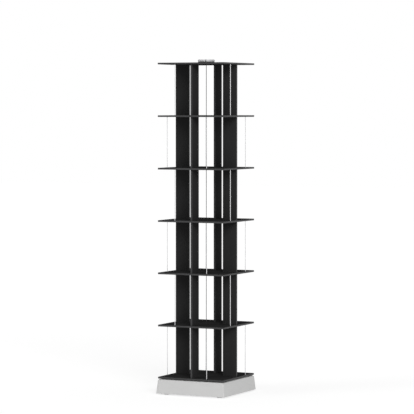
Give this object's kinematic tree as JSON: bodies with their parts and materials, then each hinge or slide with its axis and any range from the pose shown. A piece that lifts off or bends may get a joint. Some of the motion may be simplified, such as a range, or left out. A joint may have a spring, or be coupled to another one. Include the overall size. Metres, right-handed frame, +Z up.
{
  "type": "spine bookshelf",
  "caption": "Revolving book tower: square shelves and radial panels clamped on a thin central rod, silver guard rods, a silver hub and a tapered plinth with a ball ring.",
  "frame": {"origin": "floor under the tower's turning axis, at the middle of the plinth", "axes": "+Z up along the turning axis; -Y is the front side of the plinth and of the shelves at rest, +X its right side"},
  "size_m": [0.4128, 0.4128, 1.8379],
  "materials": {
    "black_board": "satin black lacquer on fibreboard",
    "rod_steel": "fine brushed steel rod",
    "black_rod": "black enamel on steel rod",
    "hub_metal": "turned satin aluminium",
    "plinth_paint": "light grey powder coat",
    "bearing_steel": "ground bearing steel"
  },
  "bodies": {
    "base": {"plinth": "plinth_paint"},
    "ball_ring": {"ball_ring": "bearing_steel"},
    "tower": {"upper_race": "bearing_steel", "tie_rod": "black_rod", "hub": "hub_metal", "shelf_1": "black_board", "shelf_2": "black_board", "shelf_3": "black_board", "shelf_4": "black_board", "shelf_5": "black_board", "shelf_6": "black_board", "shelf_7": "black_board", "level_1_panel_front": "black_board", "level_1_rod_front": "rod_steel", "level_1_panel_right": "black_board", "level_1_rod_right": "rod_steel", "level_1_panel_back": "black_board", "level_1_rod_back": "rod_steel", "level_1_panel_left": "black_board", "level_1_rod_left": "rod_steel", "level_2_panel_front": "black_board", "level_2_rod_front": "rod_steel", "level_2_panel_right": "black_board", "level_2_rod_right": "rod_steel", "level_2_panel_back": "black_board", "level_2_rod_back": "rod_steel", "level_2_panel_left": "black_board", "level_2_rod_left": "rod_steel", "level_3_panel_front": "black_board", "level_3_rod_front": "rod_steel", "level_3_panel_right": "black_board", "level_3_rod_right": "rod_steel", "level_3_panel_back": "black_board", "level_3_rod_back": "rod_steel", "level_3_panel_left": "black_board", "level_3_rod_left": "rod_steel", "level_4_panel_front": "black_board", "level_4_rod_front": "rod_steel", "level_4_panel_right": "black_board", "level_4_rod_right": "rod_steel", "level_4_panel_back": "black_board", "level_4_rod_back": "rod_steel", "level_4_panel_left": "black_board", "level_4_rod_left": "rod_steel", "level_5_panel_front": "black_board", "level_5_rod_front": "rod_steel", "level_5_panel_right": "black_board", "level_5_rod_right": "rod_steel", "level_5_panel_back": "black_board", "level_5_rod_back": "rod_steel", "level_5_panel_left": "black_board", "level_5_rod_left": "rod_steel", "level_6_panel_front": "black_board", "level_6_rod_front": "rod_steel", "level_6_panel_right": "black_board", "level_6_rod_right": "rod_steel", "level_6_panel_back": "black_board", "level_6_rod_back": "rod_steel", "level_6_panel_left": "black_board", "level_6_rod_left": "rod_steel"}
  },
  "joints": [
    {"name": "tower_spin", "type": "hinge", "parent": "base", "child": "tower", "pos_m": [0, 0, 0.086], "axis": [0, 0, 1], "continuous": true},
    {"name": "ball_ring_spin", "type": "hinge", "parent": "base", "child": "ball_ring", "pos_m": [0, 0, 0.084], "axis": [0, 0, 1], "continuous": true}
  ],
  "couplings": [
    {"joint": "ball_ring_spin", "follows": "tower_spin", "ratio": 0.5}
  ]
}
